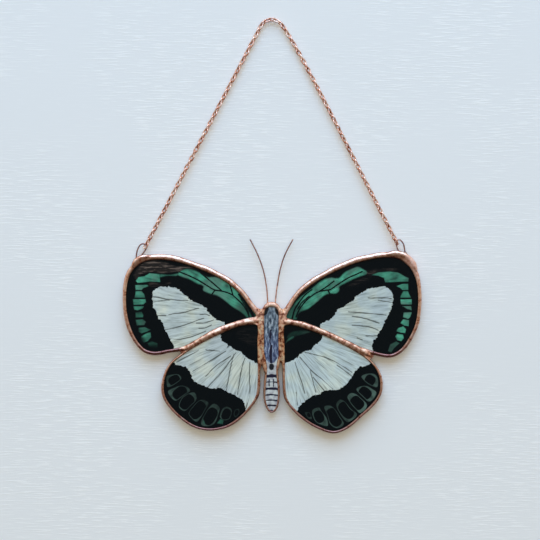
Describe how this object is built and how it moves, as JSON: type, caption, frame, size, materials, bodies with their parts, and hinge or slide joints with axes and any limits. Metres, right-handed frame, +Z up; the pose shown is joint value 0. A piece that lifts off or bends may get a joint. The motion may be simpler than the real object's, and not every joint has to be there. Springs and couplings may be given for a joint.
{
  "type": "stained glass butterfly hanging ornament",
  "caption": "Flat butterfly of painted glass panes joined by copper foil and solder, with wire antennae, hung from wire loops at the wing tips by a fine copper chain.",
  "frame": {"origin": "under the top of the chain, where the hook or nail sits", "axes": "+X from the left wing to the right wing as seen from the front, +Z up, the painted front faces -Y"},
  "size_m": [0.1492, 0.0056, 0.208],
  "materials": {
    "copper": "copper-plated solder, rubbed, with dark specks",
    "copper_wire": "browned copper wire",
    "chain_copper": "bright copper",
    "wing_glass": "sheet glass painted black, green and white, glossy",
    "body_glass": "sheet glass painted blue-grey and white, glossy"
  },
  "bodies": {
    "root": {"copper_frame": "copper", "forewing_left_glass": "wing_glass", "forewing_right_glass": "wing_glass", "hindwing_left_glass": "wing_glass", "hindwing_right_glass": "wing_glass", "body_glass": "body_glass", "antenna_left": "copper_wire", "antenna_right": "copper_wire", "hang_loop_left": "copper_wire", "hang_loop_right": "copper_wire", "hang_chain": "chain_copper"}
  },
  "joints": []
}
